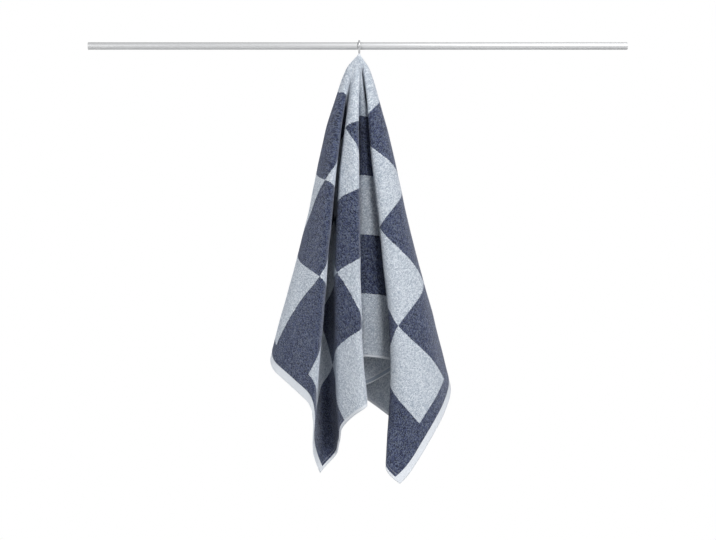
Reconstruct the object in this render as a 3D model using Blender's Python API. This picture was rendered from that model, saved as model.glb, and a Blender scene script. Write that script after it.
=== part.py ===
"""Hand towel hung by the middle of one long edge on a wire hook over a thin rail.

Frame: the origin is the centre of the rail's left end face, X runs along the rail,
Y points away from the viewer and Z points up. Lengths are metres, except in the two
tables, whose lengths are centimetres.
"""

import math

import bmesh
import bpy
import numpy as np

CM = 0.01
MM = 0.001

# ---- the cloth as it was woven and cut ----
TOWEL_WIDTH = 1.00  # along the edge that hangs on the hook
TOWEL_HEIGHT = 0.50
CLOTH_THICKNESS = 2.2 * MM

# ---- the rail and the hook ----
RAIL_LENGTH = 0.89
RAIL_RADIUS = 6.1 * MM
RAIL_CHAMFER = 0.6 * MM
RAIL_SIDES = 36
HOOK_X = 0.4475
WIRE_RADIUS = 1.6 * MM
WIRE_ROUNDNESS = 3  # bevel resolution, ten sides
HOOK_GAP = 0.3 * MM  # between the wire and what it touches
HOOK_BEND = RAIL_RADIUS + HOOK_GAP + WIRE_RADIUS  # centre line of the upper bend
LOWER_BEND = 8.0 * MM
LOWER_CENTRE_Z = -28.0 * MM
TIP_TOP_Z = -18.9 * MM
BACK_TIP_Z = -5.0 * MM
UPPER_STEPS = 28
LOWER_STEPS = 22
TIP_ANGLES = (35, 70)  # degrees round each tip's end
SHARP_ANGLE = math.radians(30)

# ---- the drape ----
APEX_Y = -9.9 * MM  # the middle of the hung edge rests on the hook's tip
APEX_Z = -13.5 * MM
HOOD_HALF_ANGLE = math.radians(38)
HOOD_FRONT_SHARE = 0.45  # how far the hood bulges forward, as a share of a round cone
HOOD_FROM = 1.2  # cm from the apex where the hood starts to become folds
HOOD_TO = 4.2
DEPTH_POWER = 0.62  # how the folds' depth grows with the distance from the hook
REACH_POWER = 0.7  # spacing of the sections along a ray
LEAN_FROM = 3.0  # cm from the apex, where the lean starts
LEAN_BY = 8.0  # and about where it is at its most
BEND_SIZE = 0.35  # cm, how far the cloth's stiffness rounds its bends
NECK_BEND = 0.08  # cm more in the neck near the hook, which ends between these distances
NECK_FROM = 4.0
NECK_TO = 9.0
LEAST_FALL = 0.05  # no stretch of cloth lies flatter than this
LET_OUT_END = 14.0  # cm, above here the folds are let out a little
SECTIONS = (4.0, 12.0, 30.0, 50.0, 66.0)  # cm from the apex

# One row a fold line, in its order along the cloth. angle is the fold line's angle on the
# flat cloth, in degrees from straight down. x4 to x66 are its sideways places and y4 and
# y50 its depths in the sections that far from the apex. reach is the share of the flat
# distance that it hangs down, and let_out the extra length near the hook. lean is how
# much further round the line lies higher up, before it comes to that angle.
FOLD_COLUMNS = "angle x4 y4 x12 x30 x50 x66 y50 reach let_out lean".split()
FOLDS = {
    "back left hem": (-90.0, -0.95, 1.70, 0.3, 0.4, -0.6, -1.5, 12.0, 1.00, 0.6, 0.0),
    "back left flap": (-81.0, -1.60, 1.55, -2.9, -5.0, -8.3, -10.5, 12.4, 1.00, 0.6, 0.0),
    "left side": (-72.5, -2.42, 0.75, -5.15, -8.9, -13.8, -18.0, 6.6, 0.990, 0.6, -1.5),
    "left panel outer": (-66.7, -2.4, 0.20, -4.9, -8.45, -13.6, -16.8, 2.2, 0.992, 0.3, -4.0),
    "left panel": (-59.0, -2.05, -0.45, -4.35, -6.95, -10.1, -11.6, -1.6, 0.978, 0.1, -8.5),
    "left ridge outside": (-55.6, -1.82, -0.75, -3.75, -5.85, -7.6, -8.6, -4.2, 0.972, 0.2, -10.5),
    "left ridge": (-53.7, -1.65, -0.82, -3.38, -5.27, -6.85, -7.9, -4.7, 0.970, 0.4, -11.5),
    "left ridge inside": (-51.8, -1.51, -0.76, -3.03, -4.85, -6.4, -7.6, -4.2, 0.970, 0.5, -12.0),
    "left valley side": (-47.8, -1.41, -0.68, -2.98, -4.95, -6.5, -7.45, 0.5, 0.978, 0.6, -8.5),
    "left valley": (-44.8, -1.30, -0.64, -2.80, -4.65, -6.4, -6.3, 2.1, 0.983, 0.6, -5.5),
    "right of left valley": (-41.6, -1.17, -0.64, -2.35, -3.95, -4.85, -3.9, 2.1, 0.992, 0.6, -2.5),
    "middle fold side": (-38.8, -1.1, -0.74, -2.12, -3.55, -4.1, -3.2, 0.6, 0.998, 0.6, 0.0),
    "middle fold": (-34.8, -1.02, -0.90, -2.35, -3.75, -3.5, -2.45, -2.9, 0.998, 1.0, 0.0),
    "middle fold front": (-32.0, -0.70, -1.26, -1.35, -1.7, -1.2, -0.3, -5.5, 1.003, 0.7, 2.5),
    "middle ridge": (-30.0, -0.27, -1.41, -0.50, -0.2, 0.35, 1.9, -6.5, 1.006, 0.7, 4.0),
    "middle ridge back": (-27.6, -0.05, -1.24, -0.15, 0.1, 0.60, 2.3, -4.9, 1.010, 0.7, 4.0),
    "wall front": (-21.5, -0.08, -0.95, -0.40, -1.0, -1.2, -0.7, -1.1, 1.012, 0.6, 2.0),
    "wall": (-17.0, -0.14, -0.72, -0.75, -1.9, -2.6, -2.1, 1.5, 1.01, 0.6, 0.5),
    "pocket front": (-12.9, -0.15, -0.54, -1.00, -2.7, -4.2, -3.6, 3.7, 1.01, 0.6, 0.0),
    "pocket end": (-10.2, -0.10, -0.42, -0.96, -3.1, -5.1, -4.4, 5.2, 1.01, 0.6, 0.0),
    "pocket back": (-7.2, 0.04, -0.30, -0.40, -2.2, -3.4, -2.8, 5.7, 1.01, 0.6, 0.0),
    "strip side": (-4.0, 0.16, -0.30, 0.0, -0.5, -1.0, -0.7, 3.4, 1.00, 0.6, 0.0),
    "strip left": (-1.8, 0.24, -0.32, 0.25, 0.3, 0.5, 0.7, 2.0, 0.992, 0.6, 0.0),
    "strip right": (3.0, 0.36, -0.34, 1.4, 3.1, 4.6, 5.0, 1.2, 1.000, 0.6, 0.0),
    "inner fold front": (6.5, 0.42, -0.28, 1.75, 4.0, 6.1, 6.8, 1.5, 1.01, 0.6, 0.0),
    "inner fold end": (8.6, 0.44, -0.18, 1.85, 4.4, 6.7, 7.4, 2.6, 1.01, 0.6, 0.0),
    "inner fold back": (10.8, 0.45, -0.06, 1.70, 3.9, 6.0, 6.6, 3.5, 1.02, 0.6, 0.0),
    "second layer right": (14.0, 0.46, 0.05, 1.35, 3.0, 4.8, 5.2, 3.7, 1.022, 0.6, 0.0),
    "second layer left": (20.0, 0.52, 0.22, 0.95, 0.8, 0.9, 1.0, 4.9, 1.03, 0.6, 0.0),
    "left turn": (23.0, 0.70, 0.32, 0.85, -0.3, -1.4, -1.3, 6.3, 1.03, 0.6, 0.0),
    "third layer left": (26.0, 0.90, 0.20, 1.25, 0.9, 1.1, 1.2, 7.1, 1.037, 0.6, 0.0),
    "third layer right": (31.5, 0.94, -0.10, 2.05, 3.3, 4.9, 5.5, 6.6, 1.037, 0.6, 0.0),
    "side wall back": (35.5, 0.96, -0.29, 2.50, 5.1, 7.6, 8.4, 5.4, 1.02, 0.8, 0.5),
    "side wall": (39.0, 0.95, -0.49, 2.50, 5.15, 7.9, 8.8, 2.7, 1.01, 1.2, 2.0),
    "side wall front": (41.2, 0.94, -0.67, 1.90, 4.0, 5.75, 5.6, 0.3, 1.00, 1.5, 3.0),
    "right ridge inside": (42.3, 0.95, -0.82, 1.54, 3.54, 5.15, 4.45, -1.1, 0.990, 1.6, 4.2),
    "right ridge": (43.8, 1.10, -0.94, 1.88, 3.95, 5.55, 5.1, -1.6, 0.985, 1.6, 4.8),
    "right ridge outside": (45.6, 1.34, -0.93, 2.34, 4.6, 6.2, 7.2, -1.65, 0.985, 1.6, 5.2),
    "right panel": (49.0, 1.65, -0.76, 2.95, 6.0, 8.3, 10.1, -1.0, 0.990, 1.5, 4.5),
    "right panel outer": (55.0, 1.98, -0.28, 4.0, 8.0, 12.2, 14.6, 1.7, 0.990, 1.3, 2.5),
    "right side": (61.0, 2.15, 0.35, 4.55, 8.45, 13.6, 17.2, 6.3, 0.990, 1.3, 1.0),
    "back right corner": (66.0, 2.15, 0.90, 4.0, 7.6, 12.8, 16.2, 10.4, 1.00, 1.0, 0.0),
    "back right flap": (75.0, 1.65, 1.60, 1.8, 4.0, 6.4, 8.0, 14.0, 1.00, 0.6, 0.0),
    "back right hem": (90.0, 0.95, 1.75, -2.6, -4.0, -5.2, -6.0, 15.2, 1.00, 0.6, 0.0),
}

# The mesh of the cloth: rings round the apex, by their share of the way out, and how many
# columns each has.
RINGS = (
    (0.014, 16),
    (0.024, 32),
    (0.034, 64),
    (0.045, 64),
    (0.057, 64),
    (0.071, 128),
    (0.088, 128),
    (0.11, 128),
    (0.14, 128),
    (0.19, 128),
    (0.26, 128),
    (0.35, 128),
    (0.45, 128),
    (0.56, 128),
    (0.67, 128),
    (0.78, 128),
    (0.88, 128),
    (0.96, 128),
    (1.0, 128),
)
COLUMNS = 128
BEND_READ_AT = (14.0, 40.0)  # cm from the apex, where the columns read the bends
WIDEST_COLUMN = 0.045  # share of that distance
MOST_TURN = 0.36  # radians from one column to the next
EVEN_TO = 0.03  # share of the way out up to which the columns are evenly spread
FOLDS_FROM = 0.15  # and from which they follow the folds
FINE_ANGLES = 721  # rays and steps of the table from which the mesh is read
FINE_STEPS = 240
FURTHEST = 74.0  # cm
FAR_ENOUGH = 4.0  # a brush reaches this many times its size

MATERIALS = {
    # name: base colour, roughness, metallic
    "towel_terry": ((0.33, 0.37, 0.45, 1.0), 0.95, 0.0),
    "hook_steel": ((0.62, 0.63, 0.64, 1.0), 0.30, 1.0),
    "rail_steel": ((0.66, 0.67, 0.68, 1.0), 0.35, 1.0),
}


def clear_scene():
    for o in list(bpy.context.scene.objects):
        bpy.data.objects.remove(o, do_unlink=True)


def material(name):
    colour, rough, metal = MATERIALS[name]
    m = bpy.data.materials.new(name)
    m.use_nodes = True
    node = m.node_tree.nodes["Principled BSDF"]
    node.inputs["Base Color"].default_value = colour
    node.inputs["Roughness"].default_value = rough
    node.inputs["Metallic"].default_value = metal
    return m


def add_object(name, data, slot):
    o = bpy.data.objects.new(name, data)
    bpy.context.scene.collection.objects.link(o)
    data.materials.append(material(slot))
    return o


# ---- the cloth ----
def through(places, values, at):
    """A smooth curve through a table's rows, one column a coordinate."""
    places = np.asarray(places, float)
    values = np.asarray(values, float)
    steps = np.diff(places)[:, None]
    slopes = np.diff(values, axis=0) / steps
    tangents = np.zeros_like(values)
    tangents[1:-1] = slopes[:-1] * steps[1:] + slopes[1:] * steps[:-1]
    tangents[1:-1] /= steps[1:] + steps[:-1]
    tangents[0] = slopes[0]
    tangents[-1] = slopes[-1]
    i = np.clip(np.searchsorted(places, at, side="right") - 1, 0, len(places) - 2)
    h = steps[i]
    t = (np.asarray(at, float) - places[i])[:, None] / h
    t2 = t * t
    t3 = t2 * t
    start = (2 * t3 - 3 * t2 + 1) * values[i] + (t3 - 2 * t2 + t) * h * tangents[i]
    end = (3 * t2 - 2 * t3) * values[i + 1] + (t3 - t2) * h * tangents[i + 1]
    return start + end


def ease(a, b, x):
    t = np.clip((x - a) / (b - a), 0, 1)
    return t * t * (3 - 2 * t)


def fold_sections(angles, far):
    """Sideways place and depth of every ray at every distance, in cm from the apex."""
    rows = np.array(list(FOLDS.values()))
    col = {name: rows[:, k] for k, name in enumerate(FOLD_COLUMNS)}
    zero = np.zeros(len(rows))
    xs = [zero] + [col[name] for name in ("x4", "x12", "x30", "x50", "x66")]
    ys = [zero, col["y4"]]
    ys += [col["y50"] * (s / 50.0) ** DEPTH_POWER for s in SECTIONS[1:]]
    places = np.array((0.0,) + SECTIONS) ** REACH_POWER
    fold_x = through(places, np.array(xs), far**REACH_POWER)
    fold_y = through(places, np.array(ys), far**REACH_POWER)
    x = np.empty((len(far), len(angles)))
    y = np.empty_like(x)
    for k, distance in enumerate(far):
        share = ease(LEAN_FROM, LEAN_BY, distance) * max(1 - distance / SECTIONS[-1], 0)
        leaned = col["angle"] + col["lean"] * share
        section = np.column_stack([fold_x[k], fold_y[k]])
        x[k], y[k] = through(leaned, section, angles).T
    extra = np.stack([col["reach"], col["let_out"]], axis=1)
    extra = through(col["angle"], extra, angles)
    return x, y, extra[:, 0], extra[:, 1]


def hood(angles, far):
    """The round hood that the cloth makes over the hook's tip, open at the back."""
    turn = np.radians(angles) / math.sin(HOOD_HALF_ANGLE)
    wide = far[:, None] * math.sin(HOOD_HALF_ANGLE)
    front = np.where(np.cos(turn) > 0, HOOD_FRONT_SHARE, 1.0)
    return wide * np.sin(turn), -wide * np.cos(turn) * front


def round_bends(values, angles, far):
    """Even out each section with a soft brush, both of its ends held still."""
    step = math.radians(angles[1] - angles[0])
    size = BEND_SIZE + NECK_BEND * (1 - ease(NECK_FROM, NECK_TO, far))
    brushes = size / (np.maximum(far, HOOD_FROM) * step)
    rounded = np.empty_like(values)
    for k, (line, brush) in enumerate(zip(values, brushes)):
        reach = min(int(FAR_ENOUGH * brush) + 1, len(line) - 1)
        before = 2 * line[0] - line[reach:0:-1]
        after = 2 * line[-1] - line[-2 : -reach - 2 : -1]
        weight = np.exp(-0.5 * (np.arange(-reach, reach + 1) / brush) ** 2)
        longer = np.concatenate([before, line, after])
        rounded[k] = np.convolve(longer, weight / weight.sum(), mode="valid")
    return rounded


def drape_table():
    """Rays, distances, and the hung place of the cloth there, in cm from the apex."""
    angles = np.linspace(-90, 90, FINE_ANGLES)
    far = np.linspace(0, FURTHEST, FINE_STEPS + 1)
    x, y, reach, let_out = fold_sections(angles, far)
    hood_x, hood_y = hood(angles, far)
    share = ease(HOOD_FROM, HOOD_TO, far)[:, None]
    x = round_bends(hood_x * (1 - share) + x * share, angles, far)
    y = round_bends(hood_y * (1 - share) + y * share, angles, far)
    step = far[1] - far[0]
    # let_out is spread over the first part of the ray
    spread = 1 - ease(0, LET_OUT_END, far[1:])
    spread /= spread.sum() * step
    length = reach[None, :] * (1 + let_out[None, :] * spread[:, None])
    run = (np.diff(x, axis=0) ** 2 + np.diff(y, axis=0) ** 2) / step**2
    fall = np.sqrt(np.maximum(length**2 - run, LEAST_FALL)) * step
    z = -np.vstack([np.zeros(len(angles)), np.cumsum(fall, axis=0)])
    return angles, far, np.stack([x, y, z], axis=2)


def edge_distance(angles):
    """How far the cut edge is from the middle of the hung edge, in cm."""
    a = np.radians(angles)
    down = (TOWEL_HEIGHT / CM) / np.maximum(np.cos(a), 1e-9)
    across = (TOWEL_WIDTH / 2 / CM) / np.maximum(np.abs(np.sin(a)), 1e-9)
    return np.minimum(down, across)


def column_angles(angles, far, table):
    """Angles of the mesh's columns, closer together where the cloth bends."""
    cost = np.zeros(len(angles) - 1)
    for distance in BEND_READ_AT:
        line = table[np.argmin(np.abs(far - distance)), :, :2]
        step = np.diff(line, axis=0)
        long = np.hypot(step[:, 0], step[:, 1])
        way = np.unwrap(np.arctan2(step[:, 1], step[:, 0]))
        cost += long / (WIDEST_COLUMN * distance) + np.abs(np.gradient(way)) / MOST_TURN
    total = np.concatenate([[0], np.cumsum(cost)])
    chosen = np.interp(np.linspace(0, total[-1], COLUMNS + 1), total, angles)
    corner = math.degrees(math.atan2(TOWEL_WIDTH / 2, TOWEL_HEIGHT))
    for a in (-corner, corner):
        chosen[np.argmin(np.abs(chosen - a))] = a
    return chosen


def cloth_points(angles, far, table, columns, share, every):
    """One ring of the cloth's middle surface, in metres in the part's frame."""
    even = np.linspace(-90, 90, COLUMNS + 1)
    mix = ease(EVEN_TO, FOLDS_FROM, share)
    chosen = (even * (1 - mix) + columns * mix)[::every]
    distance = share * edge_distance(chosen)
    column = np.interp(chosen, angles, np.arange(len(angles)))
    row = distance / (far[1] - far[0])
    i = np.clip(row.astype(int), 0, len(far) - 2)
    j = np.clip(column.astype(int), 0, len(angles) - 2)
    s = (row - i)[:, None]
    t = (column - j)[:, None]
    near = table[i, j] * (1 - t) + table[i, j + 1] * t
    away = table[i + 1, j] * (1 - t) + table[i + 1, j + 1] * t
    return (near * (1 - s) + away * s) * CM + np.array([HOOK_X, APEX_Y, APEX_Z])


def towel():
    angles, far, table = drape_table()
    columns = column_angles(angles, far, table)
    points = [np.array([[HOOK_X, APEX_Y, APEX_Z]])]
    starts = []
    count = 1
    for share, number in RINGS:
        every = COLUMNS // number
        starts.append(count)
        points.append(cloth_points(angles, far, table, columns, share, every))
        count += number + 1
    points = np.vstack(points)
    faces = [(0, starts[0] + k, starts[0] + k + 1) for k in range(RINGS[0][1])]
    for ring in range(len(RINGS) - 1):
        a = starts[ring]
        b = starts[ring + 1]
        for k in range(RINGS[ring][1]):
            if RINGS[ring + 1][1] == RINGS[ring][1]:
                faces.append((a + k, b + k, b + k + 1))
                faces.append((a + k, b + k + 1, a + k + 1))
            else:
                m = b + 2 * k + 1
                faces.append((a + k, m - 1, m))
                faces.append((a + k, m, a + k + 1))
                faces.append((a + k + 1, m, m + 1))
    mesh = bpy.data.meshes.new("towel")
    mesh.from_pydata(points.tolist(), [], faces)
    o = add_object("towel", mesh, "towel_terry")
    thick = o.modifiers.new("Cloth thickness", "SOLIDIFY")
    thick.thickness = CLOTH_THICKNESS
    thick.offset = 0.0  # half to each side of the middle surface
    return o


# ---- the rail and the hook ----
def rail():
    bm = bmesh.new()
    bmesh.ops.create_cone(
        bm,
        cap_ends=True,
        segments=RAIL_SIDES,
        radius1=RAIL_RADIUS,
        radius2=RAIL_RADIUS,
        depth=RAIL_LENGTH,
    )
    mesh = bpy.data.meshes.new("rail")
    bm.to_mesh(mesh)
    bm.free()
    mesh.shade_smooth()
    mesh.set_sharp_from_angle(angle=SHARP_ANGLE)
    o = add_object("rail", mesh, "rail_steel")
    o.location = (RAIL_LENGTH / 2, 0.0, 0.0)
    o.rotation_euler = (0.0, math.pi / 2, 0.0)
    chamfer = o.modifiers.new("End chamfer", "BEVEL")
    chamfer.width = RAIL_CHAMFER
    chamfer.segments = 1
    chamfer.limit_method = "ANGLE"
    chamfer.angle_limit = SHARP_ANGLE
    return o


def hook_line():
    """The hook's centre line in the Y-Z plane, from the tip behind the rail to the other."""
    lean = math.asin((HOOK_BEND + LOWER_BEND) / -LOWER_CENTRE_Z)
    turn = math.pi + lean
    line = [(HOOK_BEND, BACK_TIP_Z)]
    for k in range(UPPER_STEPS + 1):
        a = turn * k / UPPER_STEPS
        line.append((HOOK_BEND * math.cos(a), HOOK_BEND * math.sin(a)))
    for k in range(LOWER_STEPS + 1):
        a = lean - turn * k / LOWER_STEPS
        y = LOWER_BEND * math.cos(a)
        line.append((y, LOWER_CENTRE_Z + LOWER_BEND * math.sin(a)))
    line.append((-LOWER_BEND, TIP_TOP_Z - WIRE_RADIUS))
    return np.array(line)


def hook():
    line = hook_line()
    # both tips are rounded: the wire narrows along the last half of its thickness
    first_way = (line[0] - line[1]) / np.linalg.norm(line[0] - line[1])
    last_way = (line[-1] - line[-2]) / np.linalg.norm(line[-1] - line[-2])
    narrowing = [(math.sin(a), math.cos(a)) for a in map(math.radians, TIP_ANGLES)]
    points = [(line[0] + first_way * WIRE_RADIUS * on, share) for on, share in narrowing[::-1]]
    points += [(p, 1.0) for p in line]
    points += [(line[-1] + last_way * WIRE_RADIUS * on, share) for on, share in narrowing]
    wire = bpy.data.curves.new("hook", "CURVE")
    wire.dimensions = "3D"
    wire.bevel_depth = WIRE_RADIUS
    wire.bevel_resolution = WIRE_ROUNDNESS
    wire.use_fill_caps = True
    spline = wire.splines.new("POLY")
    spline.points.add(len(points) - 1)
    for point, (place, share) in zip(spline.points, points):
        point.co = (HOOK_X, place[0], place[1], 1.0)
        point.radius = share
    return add_object("hook", wire, "hook_steel")


clear_scene()
towel()
rail()
hook()
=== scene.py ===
# %% [markdown]
# # A hand towel on a wire hook
#
# The real thing is one sheet of cotton terry, 100 cm wide and 50 cm tall, with a large
# light and dark check woven into it. It hangs by the middle of one long edge from the tip
# of a small wire hook, and the hook hangs over a thin steel rail. Everything here is in
# metres: X runs along the rail, Y points away from the viewer and Z points up.
#
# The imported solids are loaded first, as a fixed frame. They say where each piece is. The
# towel, the hook and the rail that show are finer pieces made in their places.

# %% Load the frame
import math

import bmesh
import bpy
import numpy as np
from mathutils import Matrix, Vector, noise


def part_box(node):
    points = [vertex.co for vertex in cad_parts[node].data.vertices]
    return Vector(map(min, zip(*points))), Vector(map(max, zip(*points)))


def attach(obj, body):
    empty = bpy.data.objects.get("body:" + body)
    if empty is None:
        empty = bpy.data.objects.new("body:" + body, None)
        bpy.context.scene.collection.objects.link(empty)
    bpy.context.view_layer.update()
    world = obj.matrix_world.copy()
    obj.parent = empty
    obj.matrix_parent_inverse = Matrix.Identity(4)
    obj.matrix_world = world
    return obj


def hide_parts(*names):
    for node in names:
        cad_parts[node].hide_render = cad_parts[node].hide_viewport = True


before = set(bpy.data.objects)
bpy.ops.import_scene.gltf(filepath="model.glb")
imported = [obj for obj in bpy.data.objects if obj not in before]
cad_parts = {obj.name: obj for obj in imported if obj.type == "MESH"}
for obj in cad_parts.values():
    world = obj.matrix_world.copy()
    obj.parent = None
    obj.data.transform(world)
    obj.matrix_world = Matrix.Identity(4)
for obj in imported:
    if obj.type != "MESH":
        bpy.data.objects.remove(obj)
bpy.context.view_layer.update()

CM = 0.01
MM = 0.001
for node in sorted(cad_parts):
    low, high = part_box(node)
    print(node, "from", [round(c, 4) for c in low], "to", [round(c, 4) for c in high])

# %% [markdown]
# ## Helpers for every piece
#
# Each piece ends in the same way. Its place goes into its mesh, so that its object sits at
# the origin, unturned and unscaled. Then it rides on the one body that there is, and stands
# for the imported solid in its place, which is hidden.

# %% Select, and settle a finished piece
SMOOTH_TO = math.radians(30)  # an edge sharper than this stays an edge
MERGE_WITHIN = 0.01 * MM


def select_only(piece):
    """Operators act on all that is selected, so everything else is let go first."""
    bpy.ops.object.select_all(action="DESELECT")
    piece.select_set(True)
    bpy.context.view_layer.objects.active = piece


def settle(piece, node):
    """Put a finished piece's place into its mesh, and let it stand for its solid."""
    select_only(piece)
    bpy.ops.object.transform_apply(location=True, rotation=True, scale=True)
    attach(piece, "root")
    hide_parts(node)
    piece.data.calc_loop_triangles()
    print(piece.name, len(piece.data.loop_triangles), "triangles")


# %% [markdown]
# ## The rail
#
# A straight steel bar with a small chamfer round both plain ends. A cylinder primitive
# with many sides is close to it already. Its two end rings are bevelled, which is what a
# lathe does to the real one, and the sides are then shaded smooth but the chamfer is not.

# %% Model the rail
RAIL_SIDES = 96
RAIL_CHAMFER = 0.6 * MM
CHAMFER_STEPS = 2

rail_low, rail_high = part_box("rail")
RAIL_LENGTH = rail_high[0] - rail_low[0]
RAIL_RADIUS = (rail_high[2] - rail_low[2]) / 2
bpy.ops.object.select_all(action="DESELECT")
bpy.ops.mesh.primitive_cylinder_add(
    vertices=RAIL_SIDES,
    radius=RAIL_RADIUS,
    depth=RAIL_LENGTH,
    location=((rail_low[0] + rail_high[0]) / 2, 0, 0),
    rotation=(0, math.radians(90), 0),
)
rail = bpy.context.object
rail.name = "round_rail"
bpy.ops.object.mode_set(mode="EDIT")
bpy.ops.mesh.select_all(action="DESELECT")
bar = bmesh.from_edit_mesh(rail.data)
for edge in bar.edges:
    # the end rings are the edges that don't run along the bar
    edge.select = abs(edge.verts[0].co.z - edge.verts[1].co.z) < RAIL_RADIUS
bmesh.update_edit_mesh(rail.data)
bpy.ops.mesh.bevel(offset=RAIL_CHAMFER, segments=CHAMFER_STEPS, affect="EDGES")
bpy.ops.object.mode_set(mode="OBJECT")
bpy.ops.object.shade_smooth_by_angle(angle=SMOOTH_TO)
settle(rail, "rail")
print("rail", round(RAIL_LENGTH, 3), "m long and", round(2 * RAIL_RADIUS / MM, 1), "mm thick")

# %% [markdown]
# ## The hook
#
# One bent wire in an S: a wide bend over the rail and a smaller one under the cloth. A
# curve with a round bevel is how wire is drawn in Blender. Its points narrow at both ends,
# which rounds the tips as the real wire's are. It becomes a mesh so that its place can be
# applied.

# %% The wire's centre line
WIRE_RADIUS = 1.6 * MM
HOOK_GAP = 0.3 * MM  # between the wire and the rail
HOOK_BEND = RAIL_RADIUS + HOOK_GAP + WIRE_RADIUS  # centre line of the upper bend
LOWER_BEND = 8.0 * MM
LOWER_CENTRE_Z = -28.0 * MM
TIP_TOP_Z = -18.9 * MM
BACK_TIP_Z = -5.0 * MM
BEND_STEPS = 48
TIP_ANGLES = (20, 40, 58, 74, 86)  # degrees round each tip's end

hook_low, hook_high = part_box("hook")
HOOK_X = (hook_low[0] + hook_high[0]) / 2


def hook_line():
    """The wire's centre line in the Y-Z plane, from behind the rail to the front tip."""
    lean = math.asin((HOOK_BEND + LOWER_BEND) / -LOWER_CENTRE_Z)
    turn = math.pi + lean
    line = [Vector((HOOK_X, HOOK_BEND, BACK_TIP_Z))]
    for k in range(BEND_STEPS + 1):
        a = turn * k / BEND_STEPS
        line.append(Vector((HOOK_X, HOOK_BEND * math.cos(a), HOOK_BEND * math.sin(a))))
    for k in range(BEND_STEPS + 1):
        a = lean - turn * k / BEND_STEPS
        y = LOWER_BEND * math.cos(a)
        line.append(Vector((HOOK_X, y, LOWER_CENTRE_Z + LOWER_BEND * math.sin(a))))
    line.append(Vector((HOOK_X, -LOWER_BEND, TIP_TOP_Z - WIRE_RADIUS)))
    return line


def rounded_tip(end, before):
    """Points past the wire's end, each with the share of the wire's thickness there."""
    way = (end - before).normalized() * WIRE_RADIUS
    turns = [math.radians(a) for a in TIP_ANGLES]
    return [(end + way * math.sin(a), math.cos(a)) for a in turns]


line = hook_line()
points = rounded_tip(line[0], line[1])[::-1]
points += [(place, 1.0) for place in line]
points += rounded_tip(line[-1], line[-2])
wire_length = sum((b - a).length for a, b in zip(line, line[1:]))
print("wire", round(wire_length / MM), "mm long and", round(2 * WIRE_RADIUS / MM, 1), "mm thick")

# %% Model the hook
WIRE_ROUNDNESS = 6  # bevel resolution, sixteen sides

wire = bpy.data.curves.new("wire_hook", "CURVE")
wire.dimensions = "3D"
wire.bevel_depth = WIRE_RADIUS
wire.bevel_resolution = WIRE_ROUNDNESS
wire.use_fill_caps = True
spline = wire.splines.new("POLY")
spline.points.add(len(points) - 1)
for point, (place, share) in zip(spline.points, points):
    point.co = (*place, 1.0)
    point.radius = share
hook = bpy.data.objects.new("wire_hook", wire)
bpy.context.scene.collection.objects.link(hook)
select_only(hook)
bpy.ops.object.convert(target="MESH")
bpy.ops.object.mode_set(mode="EDIT")
bpy.ops.mesh.select_all(action="SELECT")
bpy.ops.mesh.remove_doubles(threshold=MERGE_WITHIN)
bpy.ops.mesh.normals_make_consistent(inside=False)
bpy.ops.object.mode_set(mode="OBJECT")
bpy.ops.object.shade_smooth_by_angle(angle=SMOOTH_TO)
settle(hook, "hook")

# %% [markdown]
# ## How the cloth hangs
#
# A sheet that hangs from one point can only fall in folds that run out from that point.
# So the cloth is measured in rays from the middle of its hung edge: each ray has an angle
# on the flat cloth, 0 straight down and 90 along the hung edge. The table has one row for
# each fold line, in their order along the cloth, and says where that line hangs at five
# distances from the hook. Smooth curves through the rows give every ray between them.
#
# This is listed and not simulated, because a simulation would find some hang of its
# own, and the folds here are those of one photo.

# %% The folds
TOWEL_WIDTH = 1.00
TOWEL_HEIGHT = 0.50
APEX = Vector((HOOK_X, -9.9 * MM, -13.5 * MM))  # the cloth's middle rests on the hook here
SECTIONS = (4.0, 12.0, 30.0, 50.0, 66.0)  # cm from the apex

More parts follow.
